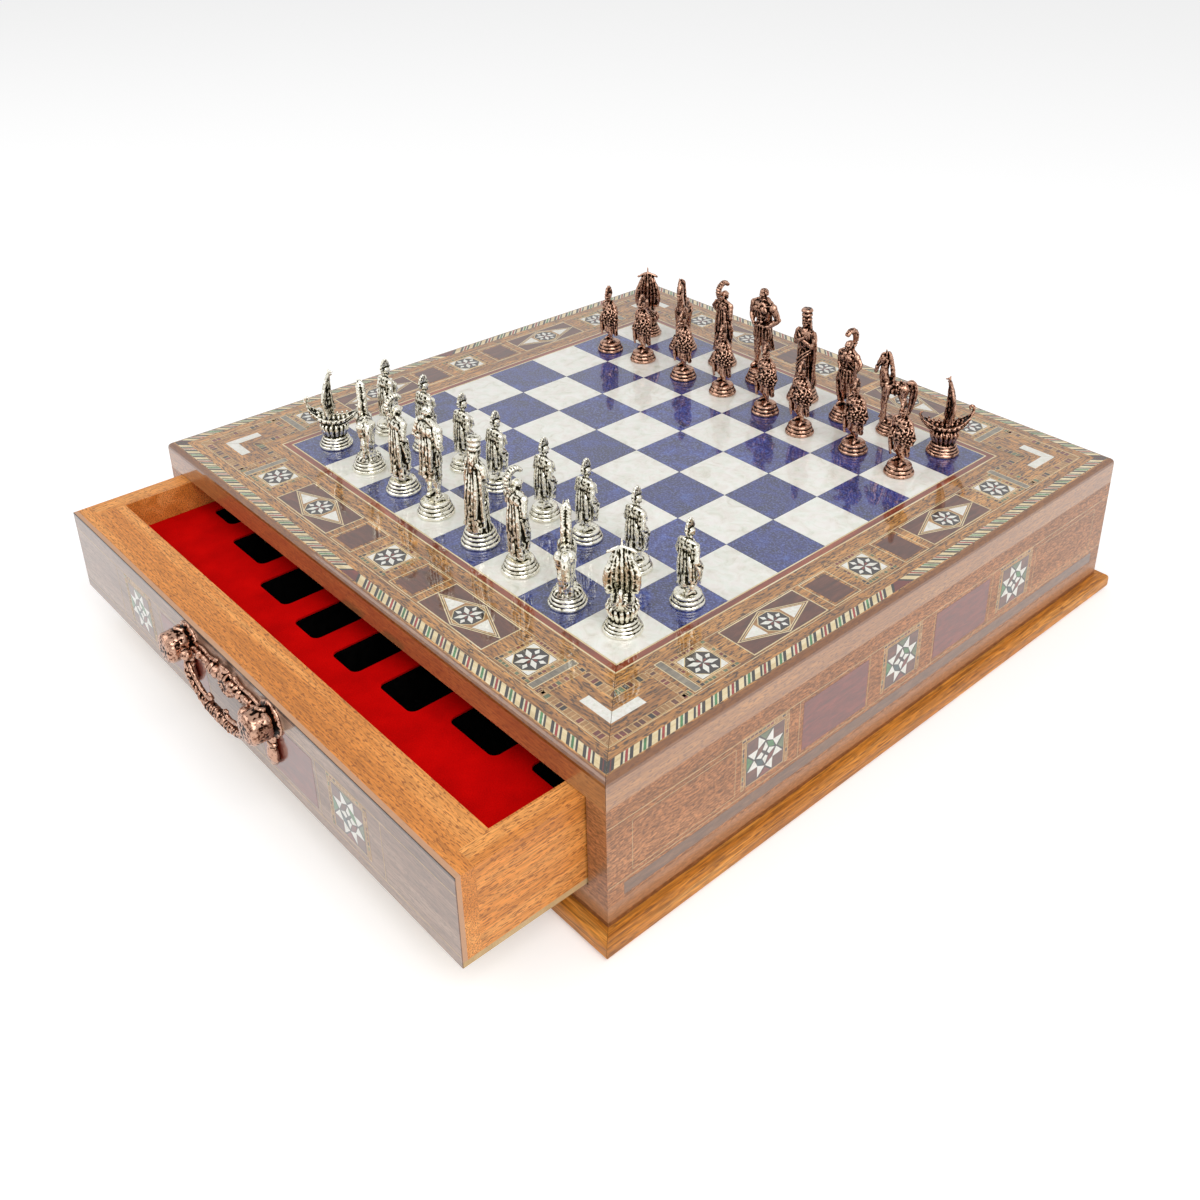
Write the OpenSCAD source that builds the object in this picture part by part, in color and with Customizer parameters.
// Chess box with two drawers, a mosaic top and a set of cast pieces standing on it.
// Millimetres, +Z up. The origin is the middle of the underside, and the front drawer opens towards -Y.

/* [Playing field] */
// Side of one square
square = 35; // [30:0.5:38]
// Gap between neighbouring tiles
tile_gap = 0.2; // [0.1:0.05:0.4]
// Thickness of a tile
tile_t = 2.5; // [1.5:0.5:4]
// Width of each pale line around the field
line_w = 0.8; // [0.5:0.1:1.5]
// Width of the mahogany strip between the pale lines
strip_w = 3.3; // [2:0.1:6]

/* [Box] */
// Outer width and depth of the box
box_w = 384; // [360:1:461]
// Height from the underside to the playing field
box_h = 88; // [73:1:110]
// Thickness of the side walls and of the rails under the drawers
wall_t = 12; // [8:0.5:16]
// Thickness of the top, its tiles included
top_t = 15.5; // [12:0.5:20]
// Width of the rounded edge of the top
edge_w = 2.8; // [2:0.2:5]
// Drop of the rounded edge of the top
edge_h = 3.4; // [2:0.2:6]
// Height of the base moulding
base_h = 10; // [8:0.5:16]
// How far the base moulding stands proud of the walls
base_proud = 6.5; // [3.5:0.5:12]
// Radius of the moulding's outer edges
base_round = 3; // [1:0.5:3.5]
// Thickness of the bottom panel
panel_t = 5; // [3:0.5:6]
// Height of the rail under each drawer
rail_h = 14.5; // [10:0.5:20]
// Thickness of the divider between the drawers
divider_t = 8; // [6:0.5:12]

/* [Edge banding] */
// Width of the striped band let into the top beside its edge
band_w = 5.2; // [4:0.2:7]
// Thickness of the striped band
band_t = 1; // [0.6:0.2:2]
// Plain strip left between the band and the rounded edge
band_margin = 0.3; // [0.2:0.1:1.5]

/* [Drawers] */
// How far the front drawer stands open
drawer_open = 62; // [0:1:90]
// Gap between a drawer and each side wall
side_gap = 1; // [0.5:0.1:2]
// Gap under and over a drawer front
rail_gap = 0.5; // [0.3:0.1:1]
// Gap between a drawer and its runners
runner_gap = 0.3; // [0.2:0.1:0.6]
// Gap behind a closed drawer
back_gap = 2; // [1:0.5:6]
// Thickness of a drawer's front board
front_t = 24; // [16:1:28]
// Part of the front board that laps over the ends of the sides
lap_t = 9; // [6:0.5:12]
// Thickness of a drawer's sides
side_t = 12; // [8:0.5:14]
// Thickness of a drawer's back
back_t = 8; // [6:0.5:12]
// Thickness of a drawer's bottom
bottom_t = 3; // [2.5:0.5:5]
// Width of each runner
runner_w = 14; // [8:1:20]

/* [Piece tray] */
// Depth of the felt below the drawer's rim
felt_drop = 17; // [10:0.5:22]
// Thickness of the felt
felt_t = 1; // [0.8:0.1:2]
// Clearance of the tray inside the drawer
tray_gap = 0.3; // [0.2:0.1:0.6]
// Depth of the wells
well_d = 20; // [14:0.5:22]
// Corner radius of the wells
well_r = 4; // [2:0.5:6]
// Width of the king's and queen's wells
royal_well_w = 21.5; // [20.5:0.5:26]
// Width of the bishops' wells
bishop_well_w = 28; // [22:0.5:30]
// Width of the knights' wells
knight_well_w = 34; // [28:0.5:36]
// Width of the rooks' wells
rook_well_w = 22; // [20:0.5:28]
// Felt left outside the rooks' wells
well_margin = 9.7; // [6:0.1:14]
// Width of a pawns' well, which takes two pawns side by side
pawn_well_w = 42; // [38:0.5:52]
// Length of a pawns' well
pawn_well_l = 49; // [48:0.5:54]
// Felt left behind the pawns' wells
pawn_margin = 5; // [3:0.5:10]
// Felt left between the two rows of wells
row_web = 10.7; // [8:0.1:14]

/* [Handles] */
// Distance between the posts of a handle
post_spacing = 80; // [66:1:96]
// Depth of the posts' axis below the drawer's rim
post_drop = 9.5; // [9:0.5:11]
// Radius of a post
post_r = 8; // [6:0.5:9]
// Length of a post out to its domed end
post_l = 14; // [12:0.5:18]
// Thickness of the back plate
plate_t = 2.5; // [1.5:0.5:3]
// Distance of the bail's pin from the drawer front
pin_out = 7.5; // [7:0.5:8]
// Radius of the bail's pin
pin_r = 1.6; // [1.2:0.1:2]
// Running clearance around the pin
pin_gap = 0.3; // [0.3:0.05:0.5]
// Length of the pin inside the post
pin_l = 4; // [3:0.5:5]
// Radius of the bail's arms
arm_r = 2.2; // [1.8:0.1:2.6]
// Radius of the bail's grip
grip_r = 3; // [2.7:0.1:3.4]
// Drop of the grip below the pin
bail_drop = 19; // [15:0.5:24]
// Radius of a handle screw's shank
screw_r = 1.9; // [1.5:0.1:2.5]
// Clearance around the screw in the front board
screw_gap = 0.2; // [0.1:0.05:0.5]
// Radius of a screw's head
screw_head_r = 4; // [3:0.5:5]
// Thickness of a screw's head
screw_head_t = 2.2; // [1.5:0.1:3]

/* [Pieces] */
// Height of the king
king_h = 62; // [56:1:64]
// Height of the queen
queen_h = 60; // [54:1:62]
// Height of a bishop
bishop_h = 57; // [50:1:60]
// Height of a knight
knight_h = 52; // [48:1:56]
// Height of a rook
rook_h = 48; // [46:1:54]
// Height of a pawn
pawn_h = 46; // [42:1:48]
// Base radius of the king and the queen
royal_r = 10; // [8:0.5:10]
// Base radius of the bishops, knights and rooks
officer_r = 9.5; // [8:0.5:10]
// Base radius of a pawn
pawn_r = 8.5; // [7:0.5:9]

/* [Hidden] */
$fn = 64;
half = box_w / 2;
inner = half - wall_t;
field = 4 * square;
frame_in = field + 2 * line_w + strip_w;
top_under = box_h - top_t;
rail_top = base_h + rail_h;
mitre_gap = 0.1;

// A drawer is described closed, with its front board on y = -half.
drawer_half = inner - side_gap;
drawer_depth = half - divider_t / 2 - back_gap;
drawer_low = rail_top + rail_gap;
drawer_high = top_under - rail_gap;
drawer_floor = drawer_low + bottom_t;
inside_half = drawer_half - side_t;
tray_half = inside_half - tray_gap;
tray_y0 = front_t + tray_gap;
tray_y1 = drawer_depth - back_t - tray_gap;
felt_top = drawer_high - felt_drop;
felt_low = felt_top - felt_t;

// Wells of the front row, from the middle outwards. A well's place is how far its back end lies behind
// the drawer's front face.
well_w = [royal_well_w, bishop_well_w, knight_well_w, rook_well_w];
well_l = [king_h + 4, bishop_h + 5.5, knight_h + 1, rook_h + 2.5];
well_shift = [0, 0, 0, 5];
well_web = 2 * (tray_half - well_margin - royal_well_w - bishop_well_w - knight_well_w - rook_well_w) / 7;
row_back = tray_y1 - pawn_margin - pawn_well_l - row_web;
well_low = max(felt_top - well_d, drawer_floor + 2);
pawn_wells = 4;
pawn_pitch = (2 * tray_half - pawn_wells * pawn_well_w) / (pawn_wells + 1) + pawn_well_w;

// Handle
post_x = post_spacing / 2;
post_z = drawer_high - post_drop;
boss_r = 9.5;
cartouche_r = 7.5;
pendant_gap = 12; // from a pendant's tip down to the drawer's lower edge
pendant_l = post_z - boss_r - drawer_low - pendant_gap;
pendant_r = 4.2;
bend_r = 7;
knuckle_r = 3;
arm_x = post_x - post_r - 0.3 - arm_r;
grip_x = arm_x - bend_r;
arm_l = bail_drop - bend_r;

// How far each piece stands off the middle of its square, as a player leaves them.
silver_pawn_at = [[5, -2], [3, 2], [2, 4], [-3, 4], [3, 4], [0, 5], [2, 5], [5, 3]];
silver_back_at = [[-1, 1], [1, 0], [0, 0], [-3, -1], [1, -1], [0, -2], [2, -3], [0, 2]];
copper_pawn_at = [[4, -3], [-4, 2], [-1, 2], [-3, 4], [-1, 3], [-4, -2], [-3, 3], [-4, 1]];
copper_back_at = [[0, 0], [0, 0], [1, 1], [1, 0], [2, -1], [2, -3], [-3, 4], [-2, 4]];

// How far each piece of the back rows is turned from facing +Y.
silver_back_turn = [135, 65, 0, 0, 0, 0, 45, -135];
copper_back_turn = [-135, 210, 0, 180, 180, 180, 135, -45];

BACK = [
    "rook_left", "knight_left", "bishop_left", "king",
    "queen", "bishop_right", "knight_right", "rook_right"
];

// ---- Helpers ----

module bar(x0, x1, y0, y1, z0, z1) {
    translate([x0, y0, z0]) cube([x1 - x0, y1 - y0, z1 - z0]);
}

// A length along the +X side, mitred at both ends: the child is its section, drawn as [distance out, height].
module mitred(reach) {
    far = reach + mitre_gap;
    intersection() {
        rotate([90, 0, 0]) linear_extrude(2 * far, center = true) children();
        linear_extrude(box_h + 1) polygon([[mitre_gap, 0], [far, -reach], [far, reach]]);
    }
}

module four_sides() {
    for (a = [0:90:270]) rotate(a) children();
}

// A block with round upright corners, centred on x and y and standing on z = 0.
module rounded_block(w, l, h, r) {
    linear_extrude(h) union() {
        square([w, l - 2 * r], center = true);
        square([w - 2 * r, l], center = true);
        for (x = [-1, 1], y = [-1, 1]) translate([x * (w / 2 - r), y * (l / 2 - r)]) circle(r);
    }
}

// ---- Box ----

module base_moulding() {
    out = half + base_proud;
    flat = out - inner - base_round;
    color("#c07830") four_sides() mitred(out) union() {
        translate([inner, 0]) square([flat, base_h]);
        translate([inner, base_round]) square([flat + base_round, base_h - 2 * base_round]);
        for (z = [base_round, base_h - base_round]) translate([out - base_round, z]) circle(base_round);
    }
}

module base_panel() {
    color("#c9a878") bar(-inner, inner, -inner, inner, 0, panel_t);
}

module side_walls() {
    color("#a5816c") for (a = [0, 180]) rotate(a) bar(inner, half, -half, half, base_h, top_under);
}

module drawer_rails() {
    color("#a5816c") for (a = [0, 180]) rotate(a) bar(-inner, inner, -half, -half + wall_t, base_h, rail_top);
}

module centre_divider() {
    color("#c9a878") bar(-inner, inner, -divider_t / 2, divider_t / 2, panel_t, top_under);
}

module drawer_runners() {
    x0 = inner - runner_w;
    top = drawer_low - runner_gap;
    color("#d08a4f") for (a = [0, 180]) rotate(a) {
        bar(x0, inner, divider_t / 2, inner, panel_t, top);
        bar(x0, inner, -inner, -divider_t / 2, panel_t, top);
    }
}

module top_panel() {
    color("#c9a878") bar(-frame_in, frame_in, -frame_in, frame_in, top_under, box_h - tile_t);
}

// The striped band's section, or its groove's with an open top.
module band_section(open_top) {
    translate([half - edge_w - band_margin - band_w, box_h - band_t]) square([band_w, band_t + open_top]);
}

module top_frame() {
    color("#a9805c") four_sides() mitred(half) difference() {
        polygon(concat(
            [[frame_in, top_under], [half, top_under]],
            [for (a = [0:22.5:90]) [half - edge_w * (1 - cos(a)), box_h - edge_h * (1 - sin(a))]],
            [[frame_in, box_h]]
        ));
        band_section(1);
    }
}

module edge_banding() {
    color("#efe3c8") four_sides() mitred(half) band_section(0);
}

module border_length(x0, w) {
    four_sides() mitred(x0 + w) translate([x0, box_h - tile_t]) square([w, tile_t]);
}

module border_lines() {
    color("#efe3c8") {
        border_length(field, line_w);
        border_length(field + line_w + strip_w, line_w);
    }
}

module border_strips() {
    color("#8e3f2a") border_length(field + line_w, strip_w);
}

module tiles(parity) {
    side = square - tile_gap;
    for (i = [0:7], j = [0:7]) if ((i + j) % 2 == parity)
        translate([(i - 4) * square + tile_gap / 2, (j - 4) * square + tile_gap / 2, box_h - tile_t])
            cube([side, side, tile_t]);
}

module light_tiles() {
    color("#eeede6") tiles(1);
}

module dark_tiles() {
    color("#3a4488") tiles(0);
}

// ---- Drawers, described closed at the front ----

module placed(which) {
    if (which == "front") translate([0, -drawer_open, 0]) children();
    if (which == "rear") rotate(180) children();
}

module drawer_board() {
    w = drawer_half;
    n = inside_half;
    color("#d08a4f") difference() {
        translate([0, -half, drawer_floor]) linear_extrude(drawer_high - drawer_floor) polygon([
            [-w, 0], [w, 0], [w, lap_t], [n, lap_t], [n, front_t], [-n, front_t], [-n, lap_t], [-w, lap_t]
        ]);
        for (x = [-post_x, post_x]) translate([x, -half - 1, post_z]) rotate([-90, 0, 0])
            cylinder(front_t + 2, r = screw_r + screw_gap);
    }
}

// Two sides and the back between them.
module drawer_frame() {
    y1 = drawer_depth - half;
    n = inside_half - mitre_gap;
    color("#d08a4f") {
        bar(-drawer_half, -inside_half, lap_t - half, y1, drawer_floor, drawer_high);
        bar(inside_half, drawer_half, lap_t - half, y1, drawer_floor, drawer_high);
        bar(-n, n, y1 - back_t, y1, drawer_floor, drawer_high);
    }
}

module drawer_bottom() {
    color("#c9a878") bar(-drawer_half, drawer_half, -half, drawer_depth - half, drawer_low, drawer_floor);
}

function well_x(i) = i == 0
    ? (well_web + well_w[0]) / 2
    : well_x(i - 1) + well_w[i - 1] / 2 + well_web + well_w[i] / 2;

module wells() {
    h = felt_top - well_low + 1;
    pawn_y = tray_y1 - pawn_margin - pawn_well_l / 2 - half;
    for (i = [0:3], s = [-1, 1]) {
        y = row_back + well_shift[i] - well_l[i] / 2 - half;
        translate([s * well_x(i), y, well_low]) rounded_block(well_w[i], well_l[i], h, well_r);
    }
    for (i = [0:pawn_wells - 1]) {
        x = (i - (pawn_wells - 1) / 2) * pawn_pitch;
        translate([x, pawn_y, well_low]) rounded_block(pawn_well_w, pawn_well_l, h, well_r);
    }
}

module drawer_tray() {
    color("#141414") difference() {
        bar(-tray_half, tray_half, tray_y0 - half, tray_y1 - half, drawer_floor, felt_low);
        wells();
    }
}

module drawer_felt() {
    color("#c80000") difference() {
        bar(-tray_half, tray_half, tray_y0 - half, tray_y1 - half, felt_low, felt_top);
        wells();
    }
}

// ---- Handles ----

// A post with a domed end, bored from its inner side for the bail's pin.
module post() {
    l = post_l - plate_t;
    dome = post_r / 2;
    difference() {
        rotate([90, 0, 0]) rotate_extrude() {
            square([post_r - dome, l]);
            square([post_r, l - dome]);
            translate([post_r - dome, l - dome]) intersection() {
                circle(dome);
                square(dome);
            }
        }
        translate([0, plate_t - pin_out, 0]) rotate([0, -90, 0]) cylinder(post_r + 1, r = pin_r + pin_gap);
    }
}

// The back plate, two posts, and the screws that hold them through the front board.
module handle_mount() {
    color("#8a5a45") translate([0, -half, post_z]) {
        rotate([90, 0, 0]) linear_extrude(plate_t) {
            for (x = [-post_x, post_x]) translate([x, 0]) {
                circle(boss_r);
                translate([0, pendant_r - boss_r - pendant_l]) circle(pendant_r);
                translate([-2, 1 - boss_r - pendant_l + pendant_r]) square([4, pendant_l]);
            }
            translate([-post_x, -2.5]) square([2 * post_x, 5]);
            translate([0, -3]) circle(cartouche_r);
        }
        for (s = [0, 1]) mirror([s, 0, 0]) translate([post_x, -plate_t, 0]) post();
        for (x = [-post_x, post_x]) translate([x, 0, 0]) rotate([-90, 0, 0]) {
            cylinder(front_t + 1, r = screw_r);
            translate([0, 0, front_t]) cylinder(screw_head_t, r = screw_head_r);
        }
    }
}

// Half of the bail: the pin, the knuckle on it, the arm, the bend, and its half of the grip.
module half_bail() {
    translate([arm_x, 0, 0]) rotate([0, 90, 0]) {
        cylinder(arm_r + 0.3 + pin_l, r = pin_r);
        cylinder(2 * arm_r - 0.6, r = knuckle_r, center = true);
    }
    translate([arm_x, 0, -arm_l]) cylinder(arm_l, r = arm_r);
    translate([grip_x, 0, -arm_l]) rotate([90, 0, 0]) rotate(-90) rotate_extrude(angle = 90)
        translate([bend_r, 0]) circle(arm_r);
    translate([-1, 0, -bail_drop]) rotate([0, 90, 0]) {
        cylinder(grip_x + 1, r = arm_r);
        cylinder(grip_x - 2, r = grip_r);
    }
}

module handle_bail() {
    color("#8a5a45") translate([0, -half - pin_out, post_z]) for (s = [0, 1]) mirror([s, 0, 0]) half_bail();
}

// ---- Pieces: each is described standing on z = 0 and facing +Y ----

module ringed_base(r, h) {
    rotate_extrude() polygon([
        [0, 0], [r, 0], [r, 1.4], [r - 0.9, 2], [r - 0.4, 2.8], [r - 0.9, 3.8],
        [r - 2.2, 4.6], [r - 1.8, 5.4], [r - 3, h], [0, h]
    ]);
}

// A robed figure as a turned body, from the top of its base up to its chin.
module figure(low, chin, hem, waist, shoulder) {
    rise = chin - low;
    rotate_extrude() polygon([
        [0, low - 1], [hem, low - 1], [hem, low + rise * 0.1], [hem * 0.8, low + rise * 0.4],
        [waist, low + rise * 0.58], [shoulder, low + rise * 0.85], [shoulder * 0.8, low + rise * 0.94],
        [1.7, chin], [1.7, chin + 1], [0, chin + 1]
    ]);
}

module pawn() {
    low = 7;
    chin = pawn_h - 9;
    crest = pawn_h - chin - 4.4;
    ringed_base(pawn_r, low);
    figure(low, chin, 5, 4, 5.2);
    translate([0, 0, chin + 2.8]) sphere(3.1);
    translate([0, -0.8, chin + 4.4]) rotate([0, 90, 0]) cylinder(1.6, r = crest, center = true);
    translate([0, 2.6, chin - 11]) rotate([-90, 0, 0]) cylinder(3.4, r = 6.3);
}

// A ship riding on a wave, its bow towards +Y, with a mast and a bulging sail set across it.
module rook() {
    deck = 13;
    sail_w = 11.5;
    sail_low = deck + 8;
    sail_h = 17;
    bulge = 5;
    ringed_base(officer_r, 8);
    translate([0, 0, 7]) cylinder(deck - 6.5, r = 5.8);
    translate([-4.5, 0, deck - 1]) rotate([90, 0, 90]) linear_extrude(9) intersection() {
        difference() {
            translate([0, 19]) circle(19);
            translate([0, 36]) circle(30);
        }
        translate([-15, -1]) square([30, 14]);
    }
    translate([0, 0, deck + 3]) cylinder(rook_h - deck - 3, r = 1.3);
    intersection() {
        translate([-sail_w / 2, 1 - bulge, sail_low + sail_h / 2]) rotate([0, 90, 0])
            cylinder(sail_w, r = sail_h / 2);
        translate([-sail_w / 2, -1, sail_low]) cube([sail_w, 2 * bulge, sail_h]);
    }
}

// A standing horse on a low base.
module knight() {
    top = knight_h - 7;
    ringed_base(officer_r, 8);
    translate([-3.4, 0, 7]) rotate([90, 0, 90]) linear_extrude(6.8) polygon([
        [-6.5, 0], [-3.4, 0], [-3.2, 10], [-1.5, 15], [3, 16], [3.6, 10], [3.6, 0], [6.5, 0],
        [6.9, 12], [7.6, 20], [6.8, top - 13], [7.4, top - 11], [10.6, top - 14], [11, top - 11],
        [8, top - 5], [5.5, top], [2.2, top - 3], [-0.6, top - 11], [-2, top - 18], [-7, top - 19],
        [-9, top - 20], [-11, top - 24], [-11, top - 36], [-8.8, top - 36], [-8.2, top - 28], [-7, 10]
    ]);
}

module bishop() {
    low = 8;
    chin = bishop_h - 14;
    plume = bishop_h - chin - 7.6;
    ringed_base(officer_r, low);
    figure(low, chin, 5.8, 4.2, 6);
    translate([0, 0, chin + 3]) sphere(3.4);
    translate([0, -1, chin + 7.6]) rotate([0, 90, 0]) cylinder(2.2, r = plume, center = true);
    translate([-4.6, 1, chin - 7]) rotate([0, 90, 0]) cylinder(3.2, r = 2.2, center = true);
    translate([-5.6, 1, low - 1]) cylinder(chin - low - 1, r = 1.3);
}

module queen() {
    low = 9;
    chin = queen_h - 12;
    ringed_base(royal_r, low);
    figure(low, chin, 6, 3.8, 5.4);
    translate([0, 0, chin + 3]) sphere(3.4);
    translate([0, 0, chin + 4.6]) cylinder(queen_h - chin - 4.6, r = 3.3);
    translate([0, 3, chin - 15]) cylinder(8, r = 2.6);
}

module king() {
    low = 9;
    chin = king_h - 10;
    ringed_base(royal_r, low);
    figure(low, chin, 6, 4.6, 6.4);
    translate([0, 0, chin + 3]) sphere(3.7);
    translate([0, 0, chin + 4.4]) cylinder(king_h - chin - 4.4, r = 3.4);
    for (s = [-1, 1]) translate([s * 6.4, 0, chin - 17]) {
        cylinder(12, r = 2.2);
        translate([0, 0, 12]) sphere(2.9);
    }
}

module piece(kind) {
    if (kind == "rook") rook();
    if (kind == "knight") knight();
    if (kind == "bishop") bishop();
    if (kind == "queen") queen();
    if (kind == "king") king();
    if (kind == "pawn") pawn();
}

// The kind of each back-row piece, by column.
kinds = ["rook", "knight", "bishop", "king", "queen", "bishop", "knight", "rook"];

// Stands a piece on a square, counted from the -X, -Y corner, off its middle and turned by the given amounts.
module stood(army, kind, column, row, off, turn) {
    x = (column - 3.5) * square + off[0];
    y = (row - 3.5) * square + off[1];
    color(army == "silver" ? "#c9c7bd" : "#8a5a45") translate([x, y, box_h]) rotate(turn) piece(kind);
}

// ---- Nodes ----

base_moulding();
base_panel();
side_walls();
drawer_rails();
centre_divider();
drawer_runners();
top_panel();
top_frame();
edge_banding();
border_lines();
border_strips();
light_tiles();
dark_tiles();
for (d = ["front", "rear"]) {
    placed(d) drawer_board();
    placed(d) drawer_frame();
    placed(d) drawer_bottom();
    placed(d) drawer_tray();
    placed(d) drawer_felt();
    placed(d) handle_mount();
    placed(d) handle_bail();
}
for (i = [0:7]) {
    stood("silver", "pawn", i, 1, silver_pawn_at[i], 0);
    stood("copper", "pawn", i, 6, copper_pawn_at[i], 180);
    stood("silver", kinds[i], i, 0, silver_back_at[i], silver_back_turn[i]);
    stood("copper", kinds[i], i, 7, copper_back_at[i], copper_back_turn[i]);
}
